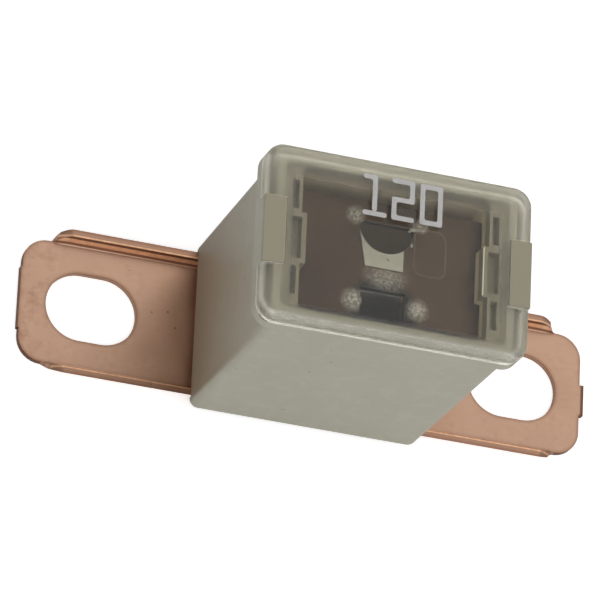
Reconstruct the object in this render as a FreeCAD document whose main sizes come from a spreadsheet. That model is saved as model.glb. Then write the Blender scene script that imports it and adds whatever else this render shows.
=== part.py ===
"""Bolt-in fuse link: moulded housing, clear cover, one stamped copper element and its tin overlay.

Millimetres. The origin lies on the centre axis of the housing, in the plane of the terminals' upper
faces. +X runs along the terminals, +Z up to the clear cover. The terminals' undersides rest at
z = -sheet_thick.
"""

import FreeCAD, Part
import math
import os
import Sketcher

SIZES = (
    # terminals
    ("sheet_thick", "0.6"),
    ("slot_centre", "20.25"),
    ("slot_half_flat", "1.03"),
    ("slot_radius", "3.25"),
    ("slot_side_web", "2.63"),
    ("slot_end_web", "2.37"),
    ("tab_corner", "2.3"),
    ("nub_overlap", "0.4"),
    ("nub_proud_right", "0.4"),
    ("nub_low_right", "1.8"),
    ("nub_high_right", "1.2"),
    ("nub_proud_left", "0.15"),
    ("nub_half_left", "2.95"),
    # turned-up edges
    ("flange_lean", "65"),
    ("flange_spread", "1.08"),
    ("flange_top", "1.0"),
    ("flange_past_slot", "2.65"),
    ("flange_ramp", "1.4"),
    ("flange_clear", "0.3"),
    # legs and link
    ("leg_outer", "9.3"),
    ("waist_step", "0.38"),
    ("waist_drop", "0.3"),
    ("bend_inside", "0.4"),
    ("hole_left", "2.7"),
    ("hole_right", "2.3"),
    ("hole_top", "3.6"),
    ("hole_side", "2.8"),
    ("hole_bow", "1.02"),
    ("notch_left", "2.4"),
    ("notch_right", "1.8"),
    ("notch_top", "2.7"),
    ("notch_corner", "0.5"),
    ("boss_gap", "0.15"),
    ("boss_length", "2.95"),
    ("boss_low", "0.7"),
    ("boss_high", "3.75"),
    ("boss_corner", "0.9"),
    ("boss_rise", "0.08"),
    # tin overlay
    ("tin_foot_step", "0.6"),
    ("tin_right", "1.7"),
    ("tin_low", "0.7"),
    ("tin_rise", "0.15"),
    # housing walls, from the inside out
    ("mouth_clear", "0.14"),
    ("foot_wall_y", "0.83"),
    ("foot_drop", "0.65"),
    ("end_wall", "1.5"),
    ("draft_x", "0.2"),
    ("draft_y", "0.25"),
    ("wall_corner", "0.8"),
    ("wall_height", "21.19"),
    ("rail_grip_y", "1.28"),
    ("rail_depth", "0.6"),
    ("shelf_reach", "1.05"),
    ("window_step", "0.5"),
    ("shelf_below_lip", "0.54"),
    ("window_corner", "0.6"),
    # lip, collar, tongues and cored shelf
    ("lip_reach_x", "1.44"),
    ("lip_reach_y", "0.09"),
    ("lip_height", "1.04"),
    ("lip_corner", "1.75"),
    ("collar_inset_x", "1.24"),
    ("collar_inset_y", "0.92"),
    ("collar_corner", "1.1"),
    ("collar_height", "0.75"),
    ("tongue_depth", "1.98"),
    ("tongue_half_y", "3.12"),
    ("tongue_proud", "0.03"),
    ("recess_depth", "0.4"),
    ("core_frame", "0.45"),
    ("core_width", "1.05"),
    ("core_half_y", "1.95"),
    ("side_core_frame", "0.3"),
    ("side_core_width", "0.6"),
    ("core_web", "0.75"),
    ("core_length", "2.7"),
    ("core_depth", "1.33"),
    # clear cover
    ("cap_plate", "0.8"),
    ("groove_x", "0.75"),
    ("groove_y", "0.1"),
    ("cover_round", "0.4"),
    # how far a cut runs out of the material
    ("beyond", "3.0"),
)

DERIVED = (
    ("sheet_under", "=-sheet_thick"),
    ("tab_half_width", "=slot_radius + slot_side_web"),
    ("tab_end", "=slot_centre + slot_half_flat + slot_radius + slot_end_web"),
    ("nub_root", "=tab_end - nub_overlap"),
    ("nub_out_right", "=tab_end + nub_proud_right"),
    ("nub_out_left", "=tab_end + nub_proud_left"),
    ("tab_straight_x", "=tab_end - tab_corner"),
    ("tab_straight_y", "=tab_half_width - tab_corner"),
    ("tab_out", "=tab_end + beyond"),
    ("side_out", "=tab_half_width + beyond"),
    ("flange_full", "=slot_centre + flange_past_slot"),
    ("flange_end", "=flange_full + flange_ramp"),
    ("flange_start", "=leg_outer + flange_clear"),
    ("flange_tip_y", "=tab_half_width + flange_spread"),
    ("flange_lip_y", "=flange_tip_y - sheet_thick / sin(flange_lean * 1deg)"),
    ("flange_foot_y", "=flange_tip_y - (flange_top + sheet_thick) / tan(flange_lean * 1deg)"),
    ("flange_reach", "=flange_foot_y - tab_half_width"),
    ("flange_bend_y", "=flange_foot_y + flange_reach * cos(flange_lean * 1deg)"),
    ("flange_bend_z", "=flange_reach * sin(flange_lean * 1deg) - sheet_thick"),
    ("flange_radius", "=flange_reach / tan(flange_lean * 0.5deg)"),
    ("ramp_out", "=flange_top + beyond"),
    ("waist_z", "=flange_top - waist_drop"),
    ("leg_half_width", "=tab_half_width - waist_step"),
    ("leg_inner", "=leg_outer - sheet_thick"),
    ("bend_outside", "=bend_inside + sheet_thick"),
    ("foot_x", "=leg_outer + bend_inside"),
    ("head_x", "=leg_outer - bend_outside"),
    ("wall_low_z", "=flange_top - foot_drop"),
    ("wall_low_x", "=leg_outer + end_wall"),
    ("wall_low_y", "=flange_tip_y + mouth_clear + foot_wall_y"),
    ("wall_high_x", "=wall_low_x + draft_x"),
    ("wall_high_y", "=wall_low_y + draft_y"),
    ("lip_low_z", "=wall_low_z + wall_height"),
    ("link_top", "=lip_low_z - shelf_below_lip"),
    ("link_under", "=link_top - sheet_thick"),
    ("head_z", "=link_top - bend_outside"),
    ("hole_radius", "=(hole_left + hole_right) * hole_bow / 2"),
    ("notch_out", "=leg_half_width + beyond"),
    ("notch_side", "=notch_top + notch_corner"),
    ("notch_flat_left", "=notch_left - notch_corner"),
    ("notch_flat_right", "=notch_right - notch_corner"),
    ("boss_left", "=hole_right + boss_gap"),
    ("boss_right", "=boss_left + boss_length"),
    ("boss_flat_left", "=boss_left + boss_corner"),
    ("boss_flat_right", "=boss_right - boss_corner"),
    ("boss_straight_low", "=boss_corner - boss_low"),
    ("boss_flat_high", "=boss_high - boss_corner"),
    ("tin_foot_left", "=hole_left - tin_foot_step"),
    ("mouth_half_y", "=flange_tip_y + mouth_clear"),
    ("mouth_out", "=wall_low_z - beyond"),
    ("cavity_y", "=leg_half_width + rail_grip_y"),
    ("rail_x", "=leg_outer - rail_depth"),
    ("window_near_x", "=leg_outer - shelf_reach"),
    ("window_x", "=window_near_x + window_step"),
    ("window_straight_x", "=window_x - window_corner"),
    ("window_straight_y", "=cavity_y - window_corner"),
    ("window_frame_y", "=core_half_y + core_frame"),
    ("lip_x", "=wall_high_x + lip_reach_x"),
    ("lip_y", "=wall_high_y + lip_reach_y"),
    ("lip_high_z", "=lip_low_z + lip_height"),
    ("collar_x", "=lip_x - collar_inset_x"),
    ("collar_y", "=lip_y - collar_inset_y"),
    ("collar_top", "=lip_high_z + collar_height"),
    ("cover_top", "=collar_top + cap_plate"),
    ("tongue_top", "=cover_top + tongue_proud"),
    ("tongue_root", "=lip_x - tongue_depth"),
    ("tongue_out", "=lip_x + beyond"),
    ("recess_floor", "=collar_top - recess_depth"),
    ("core_inner", "=window_near_x + core_frame"),
    ("core_outer", "=core_inner + core_width"),
    ("side_core_inner", "=window_x + side_core_frame"),
    ("side_core_outer", "=side_core_inner + side_core_width"),
    ("core_near_y", "=core_half_y + core_web"),
    ("core_far_y", "=core_near_y + core_length"),
    ("rim_inner_x", "=collar_x + groove_x"),
    ("rim_inner_y", "=collar_y + groove_y"),
    ("rim_inner_corner", "=collar_corner + groove_y"),
)

AXIS_TINY = 1e-9


def fill_sheet(document):
    """Write every size into one spreadsheet and return it."""
    sheet = document.addObject("Spreadsheet::Sheet", "Sizes")
    for row, (alias, value) in enumerate(SIZES + DERIVED, start=1):
        sheet.set("A%d" % row, alias)
        sheet.set("B%d" % row, value)
        sheet.setAlias("B%d" % row, alias)
    document.recompute()
    return sheet


class Pen:
    """Draws closed outlines whose points are tied to aliases of the sheet."""

    def __init__(self, sheet, body, name, plane, lift=None):
        self.sheet = sheet
        self.sketch = body.newObject("Sketcher::SketchObject", name)
        self.sketch.AttachmentSupport = (origin_plane(body, plane), [""])
        self.sketch.MapMode = "FlatFace"
        if lift:
            self.sketch.setExpression("AttachmentOffset.Base.z", "Sizes." + lift)

    def value(self, name):
        """Number behind a signed alias, or zero for an empty name."""
        if not name:
            return 0.0
        if name.startswith("-"):
            return -float(self.sheet.get(name[1:]))
        return float(self.sheet.get(name))

    def tie(self, kind, geo, pos, name):
        """Hold one coordinate of a point at a signed alias."""
        value = self.value(name)
        if abs(value) < AXIS_TINY:
            axis = -2 if kind == "DistanceX" else -1
            self.sketch.addConstraint(Sketcher.Constraint("PointOnObject", geo, pos, axis))
            return
        bare = name.lstrip("-")
        if value > 0:
            link = Sketcher.Constraint(kind, -1, 1, geo, pos, value)
        else:
            link = Sketcher.Constraint(kind, geo, pos, -1, 1, -value)
        index = self.sketch.addConstraint(link)
        negative = float(self.sheet.get(bare)) < 0
        self.sketch.setExpression("Constraints[%d]" % index, ("-" if negative else "") + "Sizes." + bare)

    def trace(self, nodes):
        """Close an outline through nodes (x, y) or (x, y, radius, turn) where an arc starts."""
        count = len(nodes)
        pieces = []
        for index, node in enumerate(nodes):
            after = nodes[(index + 1) % count]
            start = FreeCAD.Vector(self.value(node[0]), self.value(node[1]), 0)
            end = FreeCAD.Vector(self.value(after[0]), self.value(after[1]), 0)
            if len(node) == 2:
                geo = self.sketch.addGeometry(Part.LineSegment(start, end), False)
                pieces.append((geo, 1, 2))
            else:
                geo, first, last = self.bow(start, end, self.value(node[2]), node[3])
                pieces.append((geo, first, last))
        for index, node in enumerate(nodes):
            geo, first, last = pieces[index]
            follow = pieces[(index + 1) % count]
            joint = Sketcher.Constraint("Coincident", geo, last, follow[0], follow[1])
            self.sketch.addConstraint(joint)
            self.tie("DistanceX", geo, first, node[0])
            self.tie("DistanceY", geo, first, node[1])
            if len(node) == 4:
                self.radius(geo, node[2])

    def bow(self, start, end, radius, turn):
        """Add the arc from start to end that turns left (1) or right (-1)."""
        chord = end - start
        half = chord.Length / 2
        rise = math.sqrt(max(radius * radius - half * half, 0.0))
        normal = FreeCAD.Vector(-chord.y, chord.x, 0).normalize()
        centre = (start + end) * 0.5 + normal * (rise * turn)
        circle = Part.Circle(centre, FreeCAD.Vector(0, 0, 1), radius)
        angles = [math.atan2(point.y - centre.y, point.x - centre.x) for point in (start, end)]
        if turn > 0:
            geo = self.sketch.addGeometry(Part.ArcOfCircle(circle, angles[0], angles[1]), False)
            return geo, 1, 2
        geo = self.sketch.addGeometry(Part.ArcOfCircle(circle, angles[1], angles[0]), False)
        return geo, 2, 1

    def radius(self, geo, name):
        """Hold a radius at an alias."""
        index = self.sketch.addConstraint(Sketcher.Constraint("Radius", geo, self.value(name)))
        self.sketch.setExpression("Constraints[%d]" % index, "Sizes." + name)

    def rectangle(self, left, right, low, high):
        """Close a plain rectangle between four signed aliases."""
        self.trace([(left, low), (right, low), (right, high), (left, high)])

    def rounded(self, half_x, half_y, corner):
        """Close a rectangle with rounded corners, centred on the sketch origin."""
        wide, tall, radius = self.value(half_x), self.value(half_y), self.value(corner)
        corners = []
        for sign_x, sign_y, start in ((1, -1, 270), (1, 1, 0), (-1, 1, 90), (-1, -1, 180)):
            centre = FreeCAD.Vector(sign_x * (wide - radius), sign_y * (tall - radius), 0)
            circle = Part.Circle(centre, FreeCAD.Vector(0, 0, 1), radius)
            arc = Part.ArcOfCircle(circle, math.radians(start), math.radians(start + 90))
            corners.append(self.sketch.addGeometry(arc, False))
        add = self.sketch.addConstraint
        for index, geo in enumerate(corners):
            follow = corners[(index + 1) % 4]
            begin = self.sketch.getPoint(geo, 2)
            finish = self.sketch.getPoint(follow, 1)
            side = self.sketch.addGeometry(Part.LineSegment(begin, finish), False)
            add(Sketcher.Constraint("Tangent", geo, 2, side, 1))
            add(Sketcher.Constraint("Tangent", side, 2, follow, 1))
            add(Sketcher.Constraint("Horizontal" if index % 2 else "Vertical", side))
        for geo in corners[1:]:
            add(Sketcher.Constraint("Equal", corners[0], geo))
        add(Sketcher.Constraint("Symmetric", corners[0], 3, corners[2], 3, -1, 1))
        self.radius(corners[0], corner)
        across = add(Sketcher.Constraint("DistanceX", corners[2], 3, corners[1], 3, 2 * (wide - radius)))
        self.sketch.setExpression("Constraints[%d]" % across, "2 * (Sizes.%s - Sizes.%s)" % (half_x, corner))
        upward = add(Sketcher.Constraint("DistanceY", corners[0], 3, corners[1], 3, 2 * (tall - radius)))
        self.sketch.setExpression("Constraints[%d]" % upward, "2 * (Sizes.%s - Sizes.%s)" % (half_y, corner))

    def obround(self, sign):
        """Close one terminal slot on the side given by sign."""
        centre, flat, radius = (self.value(name) for name in ("slot_centre", "slot_half_flat", "slot_radius"))
        ends = []
        for side, start in ((1, -90), (-1, 90)):
            middle = FreeCAD.Vector(sign * centre + side * flat, 0, 0)
            circle = Part.Circle(middle, FreeCAD.Vector(0, 0, 1), radius)
            arc = Part.ArcOfCircle(circle, math.radians(start), math.radians(start + 180))
            ends.append(self.sketch.addGeometry(arc, False))
        add = self.sketch.addConstraint
        for first, second in ((ends[0], ends[1]), (ends[1], ends[0])):
            begin = self.sketch.getPoint(first, 2)
            finish = self.sketch.getPoint(second, 1)
            side = self.sketch.addGeometry(Part.LineSegment(begin, finish), False)
            add(Sketcher.Constraint("Tangent", first, 2, side, 1))
            add(Sketcher.Constraint("Tangent", side, 2, second, 1))
        for geo, side in zip(ends, ("+", "-")):
            add(Sketcher.Constraint("PointOnObject", geo, 3, -1))
            reach = sign * centre + (flat if side == "+" else -flat)
            order = (-1, 1, geo, 3) if sign > 0 else (geo, 3, -1, 1)
            index = add(Sketcher.Constraint("DistanceX", *order, abs(reach)))
            outward = side if sign > 0 else ("-" if side == "+" else "+")
            rule = "Sizes.slot_centre %s Sizes.slot_half_flat" % outward
            self.sketch.setExpression("Constraints[%d]" % index, rule)
        self.radius(ends[0], "slot_radius")


def origin_plane(body, role):
    """Origin plane of a body by its role."""
    return next(item for item in body.Origin.OriginFeatures if item.Role == role)


def pad(body, name, pen, length, midplane=False, backward=False):
    """Add material along a sketch's normal; length is an expression."""
    feature = body.newObject("PartDesign::Pad", name)
    feature.Profile = pen.sketch
    feature.setExpression("Length", length)
    feature.Midplane = midplane
    feature.Reversed = backward
    body.Tip = feature
    body.Document.recompute()
    return feature


def pocket(body, name, pen, length=None, midplane=False, upward=False):
    """Take material away; without a length the cut runs through everything."""
    before = body.Shape.Volume
    feature = body.newObject("PartDesign::Pocket", name)
    feature.Profile = pen.sketch
    if length:
        feature.setExpression("Length", length)
    else:
        feature.Type = "ThroughAll"
    feature.Midplane = midplane
    feature.Reversed = upward
    body.Tip = feature
    body.Document.recompute()
    if not feature.Shape.Volume < before:
        raise ValueError("%s takes nothing away" % name)
    return feature


def strip_profile(sheet, body):
    """Side view of the bent strip: terminal, leg, link, leg, terminal."""
    pen = Pen(sheet, body, "StripProfile", "XZ_Plane")
    pen.trace([
        ("tab_end", "sheet_under"), ("tab_end", ""),
        ("foot_x", "", "bend_inside", -1), ("leg_outer", "bend_inside"),
        ("leg_outer", "head_z", "bend_outside", 1), ("head_x", "link_top"),
        ("-head_x", "link_top", "bend_outside", 1), ("-leg_outer", "head_z"),
        ("-leg_outer", "bend_inside", "bend_inside", -1), ("-foot_x", ""),
        ("-tab_end", ""), ("-tab_end", "sheet_under"),
        ("-foot_x", "sheet_under", "bend_outside", 1), ("-leg_inner", "bend_inside"),
        ("-leg_inner", "head_z", "bend_inside", -1), ("-head_x", "link_under"),
        ("head_x", "link_under", "bend_inside", -1), ("leg_inner", "head_z"),
        ("leg_inner", "bend_inside", "bend_outside", 1), ("foot_x", "sheet_under"),
    ])
    return pen


def add_flanges(sheet, body):
    """Turn the long edges of both terminals up and cut their ends to a ramp."""
    pen = Pen(sheet, body, "FlangeSection", "YZ_Plane")
    for side, turn in (("", 1), ("-", -1)):
        pen.trace([
            (side + "tab_half_width", "sheet_under", "flange_radius", turn),
            (side + "flange_bend_y", "flange_bend_z"),
            (side + "flange_tip_y", "flange_top"),
            (side + "flange_lip_y", "flange_top"),
            (side + "tab_half_width", ""),
        ])
    pad(body, "Flanges", pen, "2 * Sizes.flange_end", midplane=True)
    pen = Pen(sheet, body, "FlangeGap", "XY_Plane")
    for side in ("", "-"):
        pen.rectangle("-flange_start", "flange_start", side + "tab_half_width", side + "side_out")
    pocket(body, "FlangeBreak", pen, midplane=True)
    pen = Pen(sheet, body, "RampOutline", "XZ_Plane")
    for side in ("", "-"):
        pen.trace([
            (side + "flange_end", ""), (side + "flange_end", "ramp_out"),
            (side + "flange_full", "ramp_out"), (side + "flange_full", "flange_top"),
        ])
    pocket(body, "FlangeRamps", pen, midplane=True)


def round_terminals(sheet, body):
    """Round the four outer corners, add the shear nubs and cut the bolt slots."""
    pen = Pen(sheet, body, "CornerOutline", "XY_Plane")
    for end in ("", "-"):
        for side in ("", "-"):
            turn = -1 if end == side else 1
            pen.trace([
                (end + "tab_straight_x", side + "tab_half_width", "tab_corner", turn),
                (end + "tab_end", side + "tab_straight_y"),
                (end + "tab_out", side + "tab_straight_y"),
                (end + "tab_out", side + "side_out"),
                (end + "tab_straight_x", side + "side_out"),
            ])
    pocket(body, "TerminalCorners", pen, midplane=True)
    pen = Pen(sheet, body, "NubOutline", "XY_Plane")
    pen.rectangle("nub_root", "nub_out_right", "-nub_low_right", "nub_high_right")
    pen.rectangle("-nub_out_left", "-nub_root", "-nub_half_left", "nub_half_left")
    pad(body, "ShearNubs", pen, "Sizes.sheet_thick", backward=True)
    pen = Pen(sheet, body, "SlotOutline", "XY_Plane")
    for sign in (1, -1):
        pen.obround(sign)
    pocket(body, "BoltSlots", pen, midplane=True)


def waist_and_link(sheet, body):
    """Narrow the legs and the link, pierce the link and raise its shallow boss."""
    pen = Pen(sheet, body, "WaistOutline", "XY_Plane", lift="waist_z")
    for side in ("", "-"):
        pen.rectangle("-flange_start", "flange_start", side + "leg_half_width", side + "side_out")
    pocket(body, "Waist", pen, length="Sizes.link_top", upward=True)
    pen = Pen(sheet, body, "LinkHoles", "XY_Plane", lift="waist_z")
    pen.trace(window_hole())
    pen.trace([
        ("-notch_left", "-notch_out"), ("notch_right", "-notch_out"),
        ("notch_right", "-notch_side", "notch_corner", 1), ("notch_flat_right", "-notch_top"),
        ("-notch_flat_left", "-notch_top", "notch_corner", 1), ("-notch_left", "-notch_side"),
    ])
    pocket(body, "LinkOpenings", pen, length="Sizes.link_top", upward=True)
    pen = Pen(sheet, body, "BossOutline", "XY_Plane", lift="link_top")
    pen.trace([
        ("boss_flat_left", "-boss_low"), ("boss_flat_right", "-boss_low", "boss_corner", 1),
        ("boss_right", "boss_straight_low"), ("boss_right", "boss_flat_high", "boss_corner", 1),
        ("boss_flat_right", "boss_high"), ("boss_flat_left", "boss_high", "boss_corner", 1),
        ("boss_left", "boss_flat_high"), ("boss_left", "boss_straight_low", "boss_corner", 1),
    ])
    pad(body, "LinkBoss", pen, "Sizes.boss_rise")


def window_hole():
    """Outline of the D-shaped hole in the link, shared with the tin overlay."""
    return [
        ("-hole_left", "hole_top"), ("-hole_left", "hole_side", "hole_radius", 1),
        ("hole_right", "hole_side"), ("hole_right", "hole_top"),
    ]


def fuse_element(document, sheet):
    """One copper strip: two slotted terminals, two legs and the link between them."""
    body = document.addObject("PartDesign::Body", "fuse_element")
    body.Label = "fuse_element"
    pad(body, "Strip", strip_profile(sheet, body), "2 * Sizes.tab_half_width", midplane=True)
    add_flanges(sheet, body)
    round_terminals(sheet, body)
    waist_and_link(sheet, body)
    return body


def tin_overlay(document, sheet):
    """Thin pad of tin on the neck of the link, open where the link is pierced."""
    body = document.addObject("PartDesign::Body", "tin_overlay")
    body.Label = "tin_overlay"
    pen = Pen(sheet, body, "TinOutline", "XY_Plane", lift="link_top")
    pen.trace([
        ("-tin_foot_left", "-tin_low"), ("tin_right", "-tin_low"), ("tin_right", "hole_side"),
        ("-hole_left", "hole_side"), ("-hole_left", "tin_low"),
    ])
    pad(body, "TinPad", pen, "Sizes.tin_rise")
    pen = Pen(sheet, body, "TinOpening", "XY_Plane", lift="waist_z")
    pen.trace(window_hole())
    pocket(body, "TinCut", pen, upward=True)
    return body


def housing_walls(sheet, body):
    """Drafted walls, lip, collar and the two latch tongues."""
    low = Pen(sheet, body, "WallFoot", "XY_Plane", lift="wall_low_z")
    low.rounded("wall_low_x", "wall_low_y", "wall_corner")
    high = Pen(sheet, body, "WallHead", "XY_Plane", lift="lip_low_z")
    high.rounded("wall_high_x", "wall_high_y", "wall_corner")
    walls = body.newObject("PartDesign::AdditiveLoft", "Walls")
    walls.Profile = low.sketch
    walls.Sections = [high.sketch]
    body.Tip = walls
    body.Document.recompute()
    pen = Pen(sheet, body, "LipOutline", "XY_Plane", lift="lip_low_z")
    pen.rounded("lip_x", "lip_y", "lip_corner")
    pad(body, "Lip", pen, "Sizes.lip_high_z - Sizes.lip_low_z")
    pen = Pen(sheet, body, "CollarOutline", "XY_Plane", lift="lip_high_z")
    pen.rounded("collar_x", "collar_y", "collar_corner")
    pad(body, "Collar", pen, "Sizes.collar_top - Sizes.lip_high_z")
    pen = Pen(sheet, body, "TongueOutline", "XY_Plane", lift="lip_high_z")
    pen.rectangle("tongue_root", "lip_x", "-tongue_half_y", "tongue_half_y")
    pen.rectangle("-lip_x", "-tongue_root", "-tongue_half_y", "tongue_half_y")
    pad(body, "Tongues", pen, "Sizes.tongue_top - Sizes.lip_high_z")


def window_outline():
    """Outline of the opening under the cover: round corners, narrower between the middle cores."""
    return [
        ("window_near_x", "-window_frame_y"), ("window_near_x", "window_frame_y"),
        ("window_x", "window_frame_y"), ("window_x", "window_straight_y", "window_corner", 1),
        ("window_straight_x", "cavity_y"), ("-window_straight_x", "cavity_y", "window_corner", 1),
        ("-window_x", "window_straight_y"), ("-window_x", "window_frame_y"),
        ("-window_near_x", "window_frame_y"), ("-window_near_x", "-window_frame_y"),
        ("-window_x", "-window_frame_y"), ("-window_x", "-window_straight_y", "window_corner", 1),
        ("-window_straight_x", "-cavity_y"), ("window_straight_x", "-cavity_y", "window_corner", 1),
        ("window_x", "-window_straight_y"), ("window_x", "-window_frame_y"),
    ]


def housing_hollow(sheet, body):
    """Cavity with leg rails, window opening, terminal mouth and the cored, recessed shelf."""
    pen = Pen(sheet, body, "CavityOutline", "XY_Plane")
    pen.trace([
        ("rail_x", "-cavity_y"), ("rail_x", "-leg_half_width"), ("leg_outer", "-leg_half_width"),
        ("leg_outer", "leg_half_width"), ("rail_x", "leg_half_width"), ("rail_x", "cavity_y"),
        ("-rail_x", "cavity_y"), ("-rail_x", "leg_half_width"), ("-leg_outer", "leg_half_width"),
        ("-leg_outer", "-leg_half_width"), ("-rail_x", "-leg_half_width"), ("-rail_x", "-cavity_y"),
    ])
    pocket(body, "Cavity", pen, length="Sizes.link_top", upward=True)
    pen = Pen(sheet, body, "WindowOutline", "XY_Plane")
    pen.trace(window_outline())
    pocket(body, "WindowOpening", pen, upward=True)
    pen = Pen(sheet, body, "MouthOutline", "YZ_Plane")
    pen.rectangle("-mouth_half_y", "mouth_half_y", "mouth_out", "flange_top")
    pocket(body, "TerminalMouth", pen, midplane=True)
    pen = Pen(sheet, body, "RecessOutline", "XY_Plane", lift="collar_top")
    pen.rounded("tongue_root", "cavity_y", "window_corner")
    pocket(body, "ShelfRecess", pen, length="Sizes.recess_depth")
    pen = Pen(sheet, body, "CoreOutline", "XY_Plane", lift="recess_floor")
    for left, right in (("core_inner", "core_outer"), ("-core_outer", "-core_inner")):
        pen.rectangle(left, right, "-core_half_y", "core_half_y")
    for left, right in (("side_core_inner", "side_core_outer"), ("-side_core_outer", "-side_core_inner")):
        pen.rectangle(left, right, "core_near_y", "core_far_y")
        pen.rectangle(left, right, "-core_far_y", "-core_near_y")
    pocket(body, "ShelfCores", pen, length="Sizes.core_depth")


def housing(document, sheet):
    """Moulded tube that carries the element between its end walls."""
    body = document.addObject("PartDesign::Body", "housing")
    body.Label = "housing"
    housing_walls(sheet, body)
    housing_hollow(sheet, body)
    return body


def clear_cover(document, sheet):
    """Clear cap with a rim that stands on the lip and notches round the tongues."""
    body = document.addObject("PartDesign::Body", "clear_cover")
    body.Label = "clear_cover"
    pen = Pen(sheet, body, "CapOutline", "XY_Plane", lift="lip_high_z")
    pen.rounded("lip_x", "lip_y", "lip_corner")
    cap = pad(body, "Cap", pen, "Sizes.cover_top - Sizes.lip_high_z")
    top = float(sheet.get("cover_top"))
    rounding = body.newObject("PartDesign::Fillet", "TopEdge")
    names = [
        "Edge%d" % number
        for number, edge in enumerate(cap.Shape.Edges, start=1)
        if all(abs(vertex.Z - top) < AXIS_TINY + 1e-6 for vertex in edge.Vertexes)
    ]
    rounding.Base = (cap, names)
    rounding.setExpression("Radius", "Sizes.cover_round")
    body.Tip = rounding
    document.recompute()
    pen = Pen(sheet, body, "RimInside", "XY_Plane", lift="collar_top")
    pen.rounded("rim_inner_x", "rim_inner_y", "rim_inner_corner")
    pocket(body, "CapHollow", pen)
    pen = Pen(sheet, body, "TongueNotches", "XY_Plane")
    pen.rectangle("tongue_root", "tongue_out", "-tongue_half_y", "tongue_half_y")
    pen.rectangle("-tongue_out", "-tongue_root", "-tongue_half_y", "tongue_half_y")
    pocket(body, "CapNotches", pen, upward=True)
    return body


def check(document, bodies):
    """Stop when an object is in error or a shape is unsound."""
    for item in document.Objects:
        if {"Invalid", "Error"} & set(item.State):
            raise ValueError("%s is %s" % (item.Name, item.State))
    for body in bodies:
        shape = body.Shape
        if shape.isNull() or not shape.isValid() or len(shape.Solids) != 1:
            raise ValueError("%s is not one sound solid" % body.Label)


def main():
    """Build the sheet and every sub-part, then write one STEP file for each."""
    os.makedirs("parts", exist_ok=True)
    document = FreeCAD.newDocument("fuse_link")
    sheet = fill_sheet(document)
    bodies = [
        builder(document, sheet)
        for builder in (housing, clear_cover, fuse_element, tin_overlay)
    ]
    document.recompute()
    check(document, bodies)
    for body in bodies:
        body.Shape.exportStep(os.path.join("parts", body.Label + ".step"))
        box = body.Shape.BoundBox
        print("%s volume %.2f  x %.3f..%.3f  y %.3f..%.3f  z %.3f..%.3f" % (
            body.Label, body.Shape.Volume,
            box.XMin, box.XMax, box.YMin, box.YMax, box.ZMin, box.ZMax,
        ))


main()
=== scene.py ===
"""Bolt-in fuse link with a moulded housing, a clear cover and a stamped copper strip.

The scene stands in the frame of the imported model: metres, +X along the terminals, +Z up to the
cover, the origin in the plane of the terminals' upper faces.
"""

import logging
import math
from contextlib import contextmanager
from dataclasses import dataclass
from enum import Enum
from functools import cached_property, reduce
from typing import Callable, ClassVar, Iterable, Iterator, NamedTuple, Sequence

import bmesh
import bpy
from mathutils import Matrix, Vector


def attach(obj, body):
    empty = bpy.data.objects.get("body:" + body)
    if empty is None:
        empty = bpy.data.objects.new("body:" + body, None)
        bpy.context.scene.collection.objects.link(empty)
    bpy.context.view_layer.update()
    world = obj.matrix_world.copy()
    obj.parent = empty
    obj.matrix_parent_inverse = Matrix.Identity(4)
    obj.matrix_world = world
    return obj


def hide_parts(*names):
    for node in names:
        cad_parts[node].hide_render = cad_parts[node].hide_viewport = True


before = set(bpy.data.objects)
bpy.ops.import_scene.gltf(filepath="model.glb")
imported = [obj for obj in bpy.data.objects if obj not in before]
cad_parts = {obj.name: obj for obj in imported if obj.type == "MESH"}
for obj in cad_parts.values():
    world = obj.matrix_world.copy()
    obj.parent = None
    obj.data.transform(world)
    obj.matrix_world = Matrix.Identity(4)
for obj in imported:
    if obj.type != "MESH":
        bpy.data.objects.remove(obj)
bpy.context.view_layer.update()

MM: float = 0.001
NEAR: float = 0.01
BODY: str = "root"
WHITE: tuple[float, float, float] = (1.0, 1.0, 1.0)
Colour = tuple[float, float, float]
Point = tuple[float, float, float]
Area = tuple[float, float, float, float]
Thing = bpy.types.Object
Material = bpy.types.Material
Group = bpy.types.NodeTree
Socket = bpy.types.NodeSocket

log = logging.getLogger("fuse_link")


class Slot(Enum):
    """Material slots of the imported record."""

    HOUSING = "housing_plastic"
    COVER = "clear_plastic"
    COPPER = "copper"
    TIN = "tin"


class Axis(Enum):
    """Index of each coordinate in a vector."""

    X = 0
    Y = 1
    Z = 2


class Element(Enum):
    """Kinds of mesh element, and where an edited mesh keeps them."""

    VERT = "verts"
    EDGE = "edges"
    FACE = "faces"


class Join(Enum):
    """What a tool does to a piece."""

    ADD = "UNION"
    CUT = "DIFFERENCE"


def srgb(*levels: float) -> Colour:
    """Turn a display colour into the linear one that shaders take.

    Args:
        *levels: Red, green and blue from 0 to 255.

    Returns:
        The three linear values.
    """
    shares = [level / 255.0 for level in levels]
    return tuple(share / 12.92 if share <= 0.04045 else ((share + 0.055) / 1.055) ** 2.4 for share in shares)


# Modelling bench


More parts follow.
